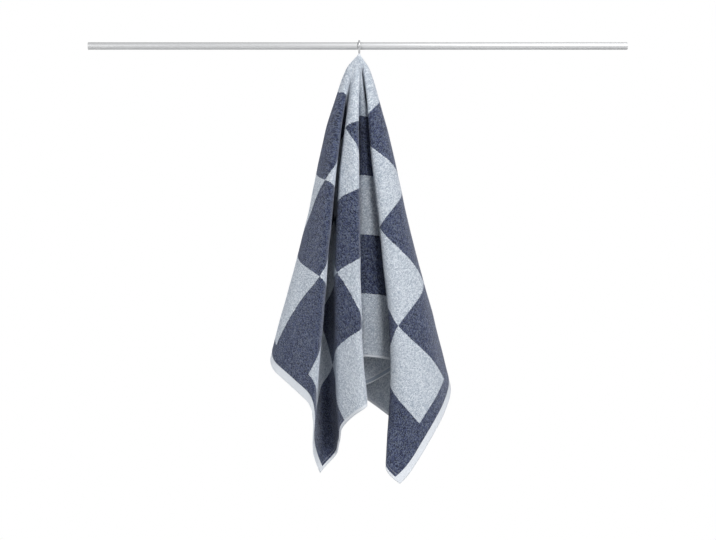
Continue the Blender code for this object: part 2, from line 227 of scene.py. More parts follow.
# angle is the fold line's angle on the flat cloth, in degrees. x4 to x66 are its sideways
# places and y4 and y50 its depths, in cm, in the sections that far from the apex. reach is
# the share of the flat distance that it hangs down, and let_out the extra length near the
# hook. lean is how much further round the line lies higher up, before it comes to that angle.
FOLD_COLUMNS = "angle x4 y4 x12 x30 x50 x66 y50 reach let_out lean".split()
FOLDS = {
    "back left hem": (-90.0, -0.95, 1.70, 0.3, 0.4, -0.6, -1.5, 12.0, 1.00, 0.6, 0.0),
    "back left flap": (-81.0, -1.60, 1.55, -2.9, -5.0, -8.3, -10.5, 12.4, 1.00, 0.6, 0.0),
    "left side": (-72.5, -2.42, 0.75, -5.15, -8.9, -13.8, -18.0, 6.6, 0.990, 0.6, -1.5),
    "left panel outer": (-66.7, -2.4, 0.20, -4.9, -8.45, -13.6, -16.8, 2.2, 0.992, 0.3, -4.0),
    "left panel": (-59.0, -2.05, -0.45, -4.35, -6.95, -10.1, -11.6, -1.6, 0.978, 0.1, -8.5),
    "left ridge outside": (-55.6, -1.82, -0.75, -3.75, -5.85, -7.6, -8.6, -4.2, 0.972, 0.2, -10.5),
    "left ridge": (-53.7, -1.65, -0.82, -3.38, -5.27, -6.85, -7.9, -4.7, 0.970, 0.4, -11.5),
    "left ridge inside": (-51.8, -1.51, -0.76, -3.03, -4.85, -6.4, -7.6, -4.2, 0.970, 0.5, -12.0),
    "left valley side": (-47.8, -1.41, -0.68, -2.98, -4.95, -6.5, -7.45, 0.5, 0.978, 0.6, -8.5),
    "left valley": (-44.8, -1.30, -0.64, -2.80, -4.65, -6.4, -6.3, 2.1, 0.983, 0.6, -5.5),
    "right of left valley": (-41.6, -1.17, -0.64, -2.35, -3.95, -4.85, -3.9, 2.1, 0.992, 0.6, -2.5),
    "middle fold side": (-38.8, -1.1, -0.74, -2.12, -3.55, -4.1, -3.2, 0.6, 0.998, 0.6, 0.0),
    "middle fold": (-34.8, -1.02, -0.90, -2.35, -3.75, -3.5, -2.45, -2.9, 0.998, 1.0, 0.0),
    "middle fold front": (-32.0, -0.70, -1.26, -1.35, -1.7, -1.2, -0.3, -5.5, 1.003, 0.7, 2.5),
    "middle ridge": (-30.0, -0.27, -1.41, -0.50, -0.2, 0.35, 1.9, -6.5, 1.006, 0.7, 4.0),
    "middle ridge back": (-27.6, -0.05, -1.24, -0.15, 0.1, 0.60, 2.3, -4.9, 1.010, 0.7, 4.0),
    "wall front": (-21.5, -0.08, -0.95, -0.40, -1.0, -1.2, -0.7, -1.1, 1.012, 0.6, 2.0),
    "wall": (-17.0, -0.14, -0.72, -0.75, -1.9, -2.6, -2.1, 1.5, 1.01, 0.6, 0.5),
    "pocket front": (-12.9, -0.15, -0.54, -1.00, -2.7, -4.2, -3.6, 3.7, 1.01, 0.6, 0.0),
    "pocket end": (-10.2, -0.10, -0.42, -0.96, -3.1, -5.1, -4.4, 5.2, 1.01, 0.6, 0.0),
    "pocket back": (-7.2, 0.04, -0.30, -0.40, -2.2, -3.4, -2.8, 5.7, 1.01, 0.6, 0.0),
    "strip side": (-4.0, 0.16, -0.30, 0.0, -0.5, -1.0, -0.7, 3.4, 1.00, 0.6, 0.0),
    "strip left": (-1.8, 0.24, -0.32, 0.25, 0.3, 0.5, 0.7, 2.0, 0.992, 0.6, 0.0),
    "strip right": (3.0, 0.36, -0.34, 1.4, 3.1, 4.6, 5.0, 1.2, 1.000, 0.6, 0.0),
    "inner fold front": (6.5, 0.42, -0.28, 1.75, 4.0, 6.1, 6.8, 1.5, 1.01, 0.6, 0.0),
    "inner fold end": (8.6, 0.44, -0.18, 1.85, 4.4, 6.7, 7.4, 2.6, 1.01, 0.6, 0.0),
    "inner fold back": (10.8, 0.45, -0.06, 1.70, 3.9, 6.0, 6.6, 3.5, 1.02, 0.6, 0.0),
    "second layer right": (14.0, 0.46, 0.05, 1.35, 3.0, 4.8, 5.2, 3.7, 1.022, 0.6, 0.0),
    "second layer left": (20.0, 0.52, 0.22, 0.95, 0.8, 0.9, 1.0, 4.9, 1.03, 0.6, 0.0),
    "left turn": (23.0, 0.70, 0.32, 0.85, -0.3, -1.4, -1.3, 6.3, 1.03, 0.6, 0.0),
    "third layer left": (26.0, 0.90, 0.20, 1.25, 0.9, 1.1, 1.2, 7.1, 1.037, 0.6, 0.0),
    "third layer right": (31.5, 0.94, -0.10, 2.05, 3.3, 4.9, 5.5, 6.6, 1.037, 0.6, 0.0),
    "side wall back": (35.5, 0.96, -0.29, 2.50, 5.1, 7.6, 8.4, 5.4, 1.02, 0.8, 0.5),
    "side wall": (39.0, 0.95, -0.49, 2.50, 5.15, 7.9, 8.8, 2.7, 1.01, 1.2, 2.0),
    "side wall front": (41.2, 0.94, -0.67, 1.90, 4.0, 5.75, 5.6, 0.3, 1.00, 1.5, 3.0),
    "right ridge inside": (42.3, 0.95, -0.82, 1.54, 3.54, 5.15, 4.45, -1.1, 0.990, 1.6, 4.2),
    "right ridge": (43.8, 1.10, -0.94, 1.88, 3.95, 5.55, 5.1, -1.6, 0.985, 1.6, 4.8),
    "right ridge outside": (45.6, 1.34, -0.93, 2.34, 4.6, 6.2, 7.2, -1.65, 0.985, 1.6, 5.2),
    "right panel": (49.0, 1.65, -0.76, 2.95, 6.0, 8.3, 10.1, -1.0, 0.990, 1.5, 4.5),
    "right panel outer": (55.0, 1.98, -0.28, 4.0, 8.0, 12.2, 14.6, 1.7, 0.990, 1.3, 2.5),
    "right side": (61.0, 2.15, 0.35, 4.55, 8.45, 13.6, 17.2, 6.3, 0.990, 1.3, 1.0),
    "back right corner": (66.0, 2.15, 0.90, 4.0, 7.6, 12.8, 16.2, 10.4, 1.00, 1.0, 0.0),
    "back right flap": (75.0, 1.65, 1.60, 1.8, 4.0, 6.4, 8.0, 14.0, 1.00, 0.6, 0.0),
    "back right hem": (90.0, 0.95, 1.75, -2.6, -4.0, -5.2, -6.0, 15.2, 1.00, 0.6, 0.0),
}
print(len(FOLDS), "fold lines")

# %% Smooth curves
def through(places, values, at):
    """A smooth curve through a table's rows, one column a coordinate."""
    places = np.asarray(places, float)
    values = np.asarray(values, float)
    steps = np.diff(places)[:, None]
    slopes = np.diff(values, axis=0) / steps
    tangents = np.zeros_like(values)
    tangents[1:-1] = slopes[:-1] * steps[1:] + slopes[1:] * steps[:-1]
    tangents[1:-1] /= steps[1:] + steps[:-1]
    tangents[0] = slopes[0]
    tangents[-1] = slopes[-1]
    i = np.clip(np.searchsorted(places, at, side="right") - 1, 0, len(places) - 2)
    h = steps[i]
    t = (np.asarray(at, float) - places[i])[:, None] / h
    t2 = t * t
    t3 = t2 * t
    start = (2 * t3 - 3 * t2 + 1) * values[i] + (t3 - 2 * t2 + t) * h * tangents[i]
    end = (3 * t2 - 2 * t3) * values[i + 1] + (t3 - t2) * h * tangents[i + 1]
    return start + end


def ease(a, b, x):
    """0 up to a, 1 from b on, and a smooth rise between them."""
    t = np.clip((x - a) / (b - a), 0, 1)
    return t * t * (3 - 2 * t)


print("a smooth rise:", [round(float(ease(0, 4, x)), 2) for x in range(5)])

# %% Sections through the folds, and the hood over the hook
DEPTH_POWER = 0.62  # how the folds' depth grows with the distance from the hook
REACH_POWER = 0.7  # spacing of the sections along a ray
LEAN_FROM = 3.0  # cm from the apex, where the lean starts
LEAN_BY = 8.0  # and about where it is at its most
HOOD_HALF_ANGLE = math.radians(38)
HOOD_FRONT_SHARE = 0.45  # how far the hood bulges forward, as a share of a round cone
HOOD_FROM = 0.8  # cm from the apex where the hood starts to become folds
HOOD_TO = 3.2


def fold_sections(angles, far):
    """Sideways place and depth of every ray at every distance, in cm from the apex."""
    rows = np.array(list(FOLDS.values()))
    col = {name: rows[:, k] for k, name in enumerate(FOLD_COLUMNS)}
    zero = np.zeros(len(rows))
    xs = [zero] + [col[name] for name in ("x4", "x12", "x30", "x50", "x66")]
    ys = [zero, col["y4"]]
    ys += [col["y50"] * (s / 50.0) ** DEPTH_POWER for s in SECTIONS[1:]]
    places = np.array((0.0,) + SECTIONS) ** REACH_POWER
    fold_x = through(places, np.array(xs), far**REACH_POWER)
    fold_y = through(places, np.array(ys), far**REACH_POWER)
    x = np.empty((len(far), len(angles)))
    y = np.empty_like(x)
    for k, distance in enumerate(far):
        share = ease(LEAN_FROM, LEAN_BY, distance) * max(1 - distance / SECTIONS[-1], 0)
        leaned = col["angle"] + col["lean"] * share
        section = np.column_stack([fold_x[k], fold_y[k]])
        x[k], y[k] = through(leaned, section, angles).T
    extra = np.stack([col["reach"], col["let_out"]], axis=1)
    extra = through(col["angle"], extra, angles)
    return x, y, extra[:, 0], extra[:, 1]


def hood(angles, far):
    """The round hood that the cloth makes over the hook's tip, open at the back."""
    turn = np.radians(angles) / math.sin(HOOD_HALF_ANGLE)
    wide = far[:, None] * math.sin(HOOD_HALF_ANGLE)
    front = np.where(np.cos(turn) > 0, HOOD_FRONT_SHARE, 1.0)
    return wide * np.sin(turn), -wide * np.cos(turn) * front


# %% [markdown]
# ## Stiffness, and how far down each ray reaches
#
# Terry is thick, so it can't crease sharply. Each section is evened out over a few
# millimetres, as a soft brush would. After that the fall of each ray is worked out from
# its length: cloth that goes sideways or forwards has less left to hang down with.

# %% The hung place of every point
BEND_SIZE = 0.34  # cm, how far the cloth's stiffness rounds its bends
NECK_CRISP = 0.10  # cm less in the neck near the hook, which ends between these distances
NECK_FROM = 4.0
NECK_TO = 9.0
LET_OUT_END = 14.0  # cm, above here the folds are let out a little
LEAST_FALL = 0.05  # no stretch of cloth lies flatter than this
FINE_ANGLES = 721  # rays and steps of the table from which the mesh is read
FINE_STEPS = 240
FURTHEST = 74.0  # cm
FAR_ENOUGH = 4.0  # a brush reaches this many times its size


def round_bends(values, angles, far):
    """Even out each section with a soft brush, both of its ends held still."""
    step = math.radians(angles[1] - angles[0])
    size = BEND_SIZE - NECK_CRISP * (1 - ease(NECK_FROM, NECK_TO, far))
    brushes = size / (np.maximum(far, HOOD_FROM) * step)
    rounded = np.empty_like(values)
    for k, (line, brush) in enumerate(zip(values, brushes)):
        reach = min(int(FAR_ENOUGH * brush) + 1, len(line) - 1)
        before = 2 * line[0] - line[reach:0:-1]
        after = 2 * line[-1] - line[-2 : -reach - 2 : -1]
        weight = np.exp(-0.5 * (np.arange(-reach, reach + 1) / brush) ** 2)
        longer = np.concatenate([before, line, after])
        rounded[k] = np.convolve(longer, weight / weight.sum(), mode="valid")
    return rounded


def drape_table():
    """Rays, distances, and the hung place of the cloth there, in cm from the apex."""
    angles = np.linspace(-90, 90, FINE_ANGLES)
    far = np.linspace(0, FURTHEST, FINE_STEPS + 1)
    x, y, reach, let_out = fold_sections(angles, far)
    hood_x, hood_y = hood(angles, far)
    share = ease(HOOD_FROM, HOOD_TO, far)[:, None]
    x = round_bends(hood_x * (1 - share) + x * share, angles, far)
    y = round_bends(hood_y * (1 - share) + y * share, angles, far)
    step = far[1] - far[0]
    spread = 1 - ease(0, LET_OUT_END, far[1:])
    spread /= spread.sum() * step
    length = reach[None, :] * (1 + let_out[None, :] * spread[:, None])
    run = (np.diff(x, axis=0) ** 2 + np.diff(y, axis=0) ** 2) / step**2
    fall = np.sqrt(np.maximum(length**2 - run, LEAST_FALL)) * step
    z = -np.vstack([np.zeros(len(angles)), np.cumsum(fall, axis=0)])
    return angles, far, np.stack([x, y, z], axis=2)


angles, far, drape = drape_table()
print("lowest point of the rays", round(drape[..., 2].min(), 1), "cm below the hook's tip")

# %% [markdown]
# ## The mesh of the cloth
#
# The sheet is a fan: rings round the apex, each a constant share of the way to the cut
# edge, crossed by columns that run out from the apex. Columns lie closer where the cloth
# bends. Near the apex a ring has fewer columns, or its faces would be slivers. Each point
# keeps its flat place on the cloth as its UV, in metres, so that the woven pattern folds
# with the cloth.

# %% Where the columns and the cut edge are
COLUMNS = 448
BEND_READ_AT = (14.0, 40.0)  # cm from the apex, where the columns read the bends
WIDEST_COLUMN = 0.045  # share of that distance
MOST_TURN = 0.36  # radians from one column to the next
NEVER_ZERO = 1e-9


def edge_distance(angles):
    """How far the cut edge is from the middle of the hung edge, in cm."""
    a = np.radians(angles)
    down = (TOWEL_HEIGHT / CM) / np.maximum(np.cos(a), NEVER_ZERO)
    across = (TOWEL_WIDTH / 2 / CM) / np.maximum(np.abs(np.sin(a)), NEVER_ZERO)
    return np.minimum(down, across)


def column_angles():
    """Angles of the mesh's columns, closer together where the cloth bends."""
    cost = np.zeros(len(angles) - 1)
    for distance in BEND_READ_AT:
        line = drape[np.argmin(np.abs(far - distance)), :, :2]
        step = np.diff(line, axis=0)
        long = np.hypot(step[:, 0], step[:, 1])
        way = np.unwrap(np.arctan2(step[:, 1], step[:, 0]))
        cost += long / (WIDEST_COLUMN * distance) + np.abs(np.gradient(way)) / MOST_TURN
    total = np.concatenate([[0], np.cumsum(cost)])
    chosen = np.interp(np.linspace(0, total[-1], COLUMNS + 1), total, angles)
    corner = math.degrees(math.atan2(TOWEL_WIDTH / 2, TOWEL_HEIGHT))
    for a in (-corner, corner):
        chosen[np.argmin(np.abs(chosen - a))] = a
    return chosen


columns = column_angles()
gaps = np.diff(columns)
print("columns are", round(gaps.min(), 2), "to", round(gaps.max(), 2), "degrees apart")

# %% Points of the rings
FIRST_RINGS = ((0.006, 28), (0.012, 56), (0.019, 112), (0.028, 224))  # share, columns
MAIN_RINGS_FROM = 0.037
MAIN_RINGS_TO = 0.9635
MAIN_RINGS = 86
RING_CROWDING = 1.3  # above 1 the rings crowd towards the hook
EDGE_RINGS = (0.9715, 0.9755, 0.9835, 0.9885, 0.9920, 0.9965, 1.0)
EVEN_TO = 0.03  # share of the way out up to which the columns are evenly spread
FOLDS_FROM = 0.15  # and from which they follow the folds


def read_drape(chosen, distance):
    """The hung place of points given by angle and distance on the flat cloth."""
    row = distance / (far[1] - far[0])
    column = np.interp(chosen, angles, np.arange(len(angles)))
    i = np.clip(row.astype(int), 0, len(far) - 2)
    j = np.clip(column.astype(int), 0, len(angles) - 2)
    s = (row - i)[:, None]
    t = (column - j)[:, None]
    near = drape[i, j] * (1 - t) + drape[i, j + 1] * t
    away = drape[i + 1, j] * (1 - t) + drape[i + 1, j + 1] * t
    return (near * (1 - s) + away * s) * CM + np.array(APEX)


steps = np.linspace(0, 1, MAIN_RINGS) ** RING_CROWDING
main_rings = MAIN_RINGS_FROM + (MAIN_RINGS_TO - MAIN_RINGS_FROM) * steps
rings = list(FIRST_RINGS) + [(s, COLUMNS) for s in (*main_rings, *EDGE_RINGS)]
even = np.linspace(-90, 90, COLUMNS + 1)
places = [np.array([APEX])]
flat_places = [np.zeros((1, 2))]
starts = []
for share, number in rings:
    starts.append(sum(len(p) for p in places))
    mix = ease(EVEN_TO, FOLDS_FROM, share)
    chosen = (even * (1 - mix) + columns * mix)[:: COLUMNS // number]
    distance = share * edge_distance(chosen)
    places.append(read_drape(chosen, distance))
    turn = np.radians(chosen)
    flat = np.stack([np.sin(turn), np.cos(turn)], axis=1) * distance[:, None] * CM
    flat_places.append(flat)
places = np.vstack(places)
flat_places = np.vstack(flat_places)
print(len(places), "points on one side of the cloth")

# %% Faces of the fan
faces = [(0, starts[0] + k, starts[0] + k + 1) for k in range(rings[0][1])]
for ring in range(len(rings) - 1):
    a = starts[ring]
    b = starts[ring + 1]
    for k in range(rings[ring][1]):
        if rings[ring + 1][1] == rings[ring][1]:
            faces.append((a + k, b + k, b + k + 1, a + k + 1))
        else:
            m = b + 2 * k + 1
            faces.append((a + k, m - 1, m))
            faces.append((a + k, m, a + k + 1))
            faces.append((a + k + 1, m, m + 1))
mesh = bpy.data.meshes.new("hand_towel")
mesh.from_pydata(places.tolist(), [], faces)
flat_map = mesh.uv_layers.new(name="flat_cloth")
corner_points = np.empty(len(mesh.loops), dtype=int)
mesh.loops.foreach_get("vertex_index", corner_points)
# the UV map is in metres: half the width is added so that it is never below zero
uv = flat_places[corner_points] + np.array([TOWEL_WIDTH / 2, 0.0])
flat_map.data.foreach_set("uv", uv.astype(np.float32).ravel())
towel = bpy.data.objects.new("hand_towel", mesh)
bpy.context.scene.collection.objects.link(towel)
print(len(faces), "faces on one side")

# %% [markdown]
# ## Unevenness
#
# No real cloth is as smooth as a curve. It has shallow dents a few centimetres wide, faint
# drag lines that run out from the hook, and a hem that puckers where it was stitched. They
# are noise in the cloth's own flat coordinates, pushed along its normals by a millimetre
# or so, and they fade out near the hook where the layers lie close together.

# %% Dents, drag lines and puckers
DENT_SIZE = 45 * MM
DENT_DEPTH = 1.0 * MM
DENT_START = 7.3  # where in the noise the dents are read
DRAG_DEPTH = 0.5 * MM
DRAG_LINES = 26.0  # across the half turn
DRAG_CHANGES = 2.0  # times a metre along a line
PUCKER_LENGTH = 17 * MM
PUCKER_DEPTH = 0.7 * MM
PUCKER_START = 3.1
PUCKER_REACH = 14 * MM  # how far from the edge the hem's pull shows
CALM_NEAR = 0.05  # metres from the hook, inside which the cloth is left smooth
CALM_FAR = 0.16


def edge_gap(flat):
    """Distance of a flat place to the nearest cut edge."""
    side = TOWEL_WIDTH / 2 - np.abs(flat[:, 0])
    return np.minimum(np.minimum(side, flat[:, 1]), TOWEL_HEIGHT - flat[:, 1])


def noise_at(samples):
    return np.array([noise.noise(Vector(s)) for s in samples])


normals = np.empty(len(places) * 3, dtype=np.float32)
mesh.vertex_normals.foreach_get("vector", normals)
normals = normals.reshape(-1, 3)
flat_3d = np.column_stack([flat_places, np.zeros(len(places))])
distance = np.hypot(flat_places[:, 0], flat_places[:, 1])
turn = np.arctan2(flat_places[:, 0], flat_places[:, 1])
dents = noise_at(flat_3d / DENT_SIZE + DENT_START) * DENT_DEPTH
turns = np.column_stack([turn * DRAG_LINES / math.pi, distance * DRAG_CHANGES, 0 * turn])
drags = noise_at(turns) * DRAG_DEPTH
near_edge = 1 - ease(0, PUCKER_REACH, edge_gap(flat_places))
puckers = noise_at(flat_3d / PUCKER_LENGTH + PUCKER_START) * PUCKER_DEPTH * near_edge
calm = ease(CALM_NEAR, CALM_FAR, distance)
move = (dents + drags + puckers) * calm
moved = places + normals * move[:, None]
mesh.vertices.foreach_set("co", moved.astype(np.float32).ravel())
mesh.update()
print("pushed by", round(float(np.abs(move).max() / MM), 2), "mm at most")

# %% [markdown]
# ## Thickness
#
# The loops of the pile stand on both sides of the ground weave. At both short ends there
# is a flat-woven border with no pile, and the long edges have a narrow turned hem. A
# Solidify modifier gives the cloth its thickness, half to each side, and a vertex group
# makes it thinner where there is no pile. The reverse side gets the second of two material
# slots, because a check that is light on the face is dark on the back. Both slots are
# added before the modifier is applied, as it only counts slots that are there. They are
# filled further on, once the terry is made.

# %% Make it thick
PILE_THICK = 2.6 * MM
BORDER_SHARE = 0.55  # of the pile's thickness
HEM_SHARE = 0.80
BORDER_WIDTH = 12.5 * MM
HEM_WIDTH = 4.5 * MM

weights = np.ones(len(places))
across_edge = TOWEL_WIDTH / 2 - np.abs(flat_places[:, 0])
long_edge = np.minimum(flat_places[:, 1], TOWEL_HEIGHT - flat_places[:, 1])
weights[across_edge < BORDER_WIDTH] = BORDER_SHARE
weights[long_edge < HEM_WIDTH] = HEM_SHARE
thick_group = towel.vertex_groups.new(name="thickness")
for weight in sorted(set(weights.tolist())):
    thick_group.add(np.flatnonzero(weights == weight).tolist(), weight, "REPLACE")
mesh.materials.append(None)
mesh.materials.append(None)
select_only(towel)
thick = towel.modifiers.new("Cloth thickness", "SOLIDIFY")
thick.thickness = PILE_THICK
thick.offset = 0.0
thick.vertex_group = "thickness"
thick.material_offset = 1
bpy.ops.object.modifier_apply(modifier=thick.name)
bpy.ops.object.shade_smooth()
settle(towel, "towel")

# %% [markdown]
# ## Writing shader maths
#
# A pattern is worked out from numbers, so it reads best as sums. The class below wraps one
# output of a node. A sum or a product of wrapped outputs adds the Math node for it and
# wraps that node's output. Every other node comes from one method, which first sets the
# node's settings and then fills or links its sockets.

# %% Sums that add Math nodes
class Value:
    """An output of a node. Sums and products of it add Math nodes."""

    def __init__(self, finish, socket):
        self.finish = finish
        self.socket = socket

    def math(self, operation, *others):
        values = dict(enumerate(others))
        return self.finish.add("ShaderNodeMath", {"operation": operation}, values)

    def __add__(self, other):
        return self.math("ADD", self, other)

    def __mul__(self, other):
        return self.math("MULTIPLY", self, other)

    def __sub__(self, other):
        return self.math("SUBTRACT", self, other)

    def __rsub__(self, other):
        return self.math("SUBTRACT", other, self)

    def __truediv__(self, other):
        return self.math("DIVIDE", self, other)

    def __abs__(self):
        return self.math("ABSOLUTE", self)

    def __mod__(self, other):
        return self.math("FLOORED_MODULO", self, other)

    def __gt__(self, other):
        return self.math("GREATER_THAN", self, other)

    def __lt__(self, other):
        return self.math("LESS_THAN", self, other)

    __radd__ = __add__
    __rmul__ = __mul__

    def rounded(self):
        return self.math("ROUND", self)

    def floor(self):
        return self.math("FLOOR", self)

    def at_most(self, other):
        return self.math("MINIMUM", self, other)

    def at_least(self, other):
        return self.math("MAXIMUM", self, other)


# %% A finish and its nodes
class Finish:
    """One material and its nodes."""

    def __init__(self, name):
        self.material = bpy.data.materials.new(name)
        self.material.use_nodes = True
        self.tree = self.material.node_tree
        self.tree.nodes.clear()

    def add(self, kind, settings=None, values=None, output=0):
        """A node with its settings and the values or links of its sockets."""
        node = self.tree.nodes.new(kind)
        for key, value in (settings or {}).items():
            setattr(node, key, value)
        for key, value in (values or {}).items():
            if isinstance(value, Value):
                self.tree.links.new(value.socket, node.inputs[key])
            else:
                node.inputs[key].default_value = value
        return Value(self, node.outputs[output])

    def mix(self, share, first, second):
        """A colour between two others."""
        values = {0: share, 6: first, 7: second}
        return self.add("ShaderNodeMix", {"data_type": "RGBA"}, values, 2)

    def vector(self, x, y):
        return self.add("ShaderNodeCombineXYZ", {}, {0: x, 1: y})

    def surface(self, **values):
        """The Principled shader and the output; a bump goes in as Normal."""
        names = {key.replace("_", " "): value for key, value in values.items()}
        shader = self.add("ShaderNodeBsdfPrincipled", {}, names)
        end = self.tree.nodes.new("ShaderNodeOutputMaterial")
        self.tree.links.new(shader.socket, end.inputs["Surface"])
        return self.material


# %% Colours
def srgb(red, green, blue):
    """A colour given as it looks on a screen, 0 to 255, as the shader needs it."""
    linear = []
    for part in (red, green, blue):
        c = part / 255
        linear.append(c / 12.92 if c <= 0.04045 else ((c + 0.055) / 1.055) ** 2.4)
    return (*linear, 1.0)


print("a middle grey is", [round(c, 3) for c in srgb(128, 128, 128)])

# %% [markdown]
# ## The terry
#
# Seen close, the face is thousands of small yarn loops in rows. Each loop is lit on top
# and dark at its foot, and yarn of the other colour peeps out between them, which gives the
# speckle that is seen from a step away. The pile is worked out as one cell of a Voronoi
# texture for each loop, laid out on the flat cloth. The distance to the loop's middle is
# its height, for the bump and for the colour: painted light on the loop's top and painted
# shade at its foot. Its random colour varies its tone.

# %% Terry sizes and colours
CHECK_ACROSS = 132.9 * MM
CHECK_DOWN = 98.5 * MM
LAST_ROW = 4
DARK_BAND_FROM = 465 * MM  # from the middle of the cloth
LOOP_ACROSS = 1.3 * MM
LOOP_DOWN = 2.1 * MM
LOOP_SCATTER = 0.85  # 0 for loops in a strict grid, 1 for no order
LOOP_HEIGHT = 1.1 * MM
CLUMP_ACROSS = 3.2 * MM
CLUMP_DOWN = 5.0 * MM
CLUMP_RELIEF = 0.6 * LOOP_HEIGHT
EDGE_WANDER = 1.1 * MM  # how far a check's edge strays from a straight line
BORDER_THREADS = 1.1 * MM
RIB_RELIEF = 0.125 * LOOP_HEIGHT
WEAVE_RELIEF = 0.15 * LOOP_HEIGHT
RIB_SHADE = 0.4
STITCH_FROM_EDGE = 8.6 * MM
STITCH_LENGTH = 3.2 * MM
STITCH_WIDTH = 1.2 * MM
STITCH_SINKS = 0.4 * LOOP_HEIGHT
STITCH_ON_TOP = 0.72  # share of a stitch's length that lies on top
STITCH_SHOWS = 0.25  # through the pile
TURNED_HEM = 9.0 * MM  # the hem is turned to the reverse this far
FOLD_LINE = 1.8 * MM  # the pale lines along both sides of the turned hem

# how much a loop's height gives painted light on its top and painted shade at its foot,
# how much its clump and chance lighten its yarn, and what is taken off
HEIGHT_PAINTED_LIGHT = 0.6
CLUMP_SHADE = 0.3
CHANCE_SHADE = 0.9
LESS_SHADE = 0.45
STRAY_DARK = 0.16  # dark yarn that shows between the loops of a light check
STRAY_LIGHT = 0.2  # light yarn that shows in some loops of a dark check
STRAY_FROM = 0.65  # those whose chance number is above this

# each yarn at a loop's top, where painted light falls, and at its foot, in painted shade
LIGHT_LOOP = srgb(227, 233, 239)
LIGHT_YARN_PAINTED_SHADE = srgb(158, 170, 184)
DARK_LOOP = srgb(77, 86, 117)
DARK_YARN_PAINTED_SHADE = srgb(14, 19, 37)
BORDER_YARN = srgb(222, 226, 231)
BORDER_GAP = srgb(190, 196, 204)
HEM_BACK = srgb(150, 161, 175)
SHEEN_TINT = srgb(214, 219, 232)
print("a check is", round(CHECK_ACROSS / LOOP_ACROSS), "loops wide")


# %% Loops and clumps of loops
def terry_loops(finish, across, down):
    """Each loop's height, how far its clump stands out, and two chance numbers."""
    loop_place = finish.vector(across / LOOP_ACROSS, down / LOOP_DOWN)
    loops = {"voronoi_dimensions": "2D", "feature": "F1"}
    cell = {"Vector": loop_place, "Scale": 1.0, "Randomness": LOOP_SCATTER}
    from_middle = finish.add("ShaderNodeTexVoronoi", loops, cell, 0)
    random_colour = finish.add("ShaderNodeTexVoronoi", loops, cell, 1)
    chance = finish.add("ShaderNodeSeparateColor", {}, {0: random_colour}, 0)
    other_chance = finish.add("ShaderNodeSeparateColor", {}, {0: random_colour}, 1)
    clump_place = finish.vector(across / CLUMP_ACROSS, down / CLUMP_DOWN)
    clump_values = {"Vector": clump_place, "Scale": 1.0, "Detail": 2.0}
    clump = finish.add("ShaderNodeTexNoise", {"noise_dimensions": "2D"}, clump_values)
    return (1.0 - from_middle).at_least(0.0), clump, chance, other_chance


# %% Checks, and the colour of the pile
def light_checks(across, down, chance, other_chance, even_is_light):
    """1 on a light check and 0 on a dark one. The edges wander by about one loop."""
    wander = (chance - 0.5) * EDGE_WANDER
    other_wander = (other_chance - 0.5) * EDGE_WANDER
    column = abs(((across + wander) / CHECK_ACROSS).rounded())
    row = ((down + other_wander) / CHECK_DOWN).floor().at_most(LAST_ROW)
    odd = (column + row) % 2.0
    band = abs(across + wander) > DARK_BAND_FROM
    return (1.0 - odd) * (1.0 - band) if even_is_light else odd.at_least(band)


def pile_colour(finish, height, clump, chance, other_chance, light):
    """A loop's yarn, painted light on its top and painted shade at its foot, with a little of the
    other yarn.
    """
    # height gives painted light on the loop's top and painted shade at its foot; clump and chance
    # vary its tone
    shade = height * HEIGHT_PAINTED_LIGHT + clump * CLUMP_SHADE + chance * CHANCE_SHADE - LESS_SHADE
    shade = shade.at_least(0.0).at_most(1.0)
    light_pile = finish.mix(shade, LIGHT_YARN_PAINTED_SHADE, LIGHT_LOOP)
    dark_pile = finish.mix(shade, DARK_YARN_PAINTED_SHADE, DARK_LOOP)
    light_pile = finish.mix(other_chance * STRAY_DARK, light_pile, DARK_LOOP)
    stray = (other_chance > STRAY_FROM) * STRAY_LIGHT
    dark_pile = finish.mix(stray, dark_pile, LIGHT_YARN_PAINTED_SHADE)
    return finish.mix(light, dark_pile, light_pile)


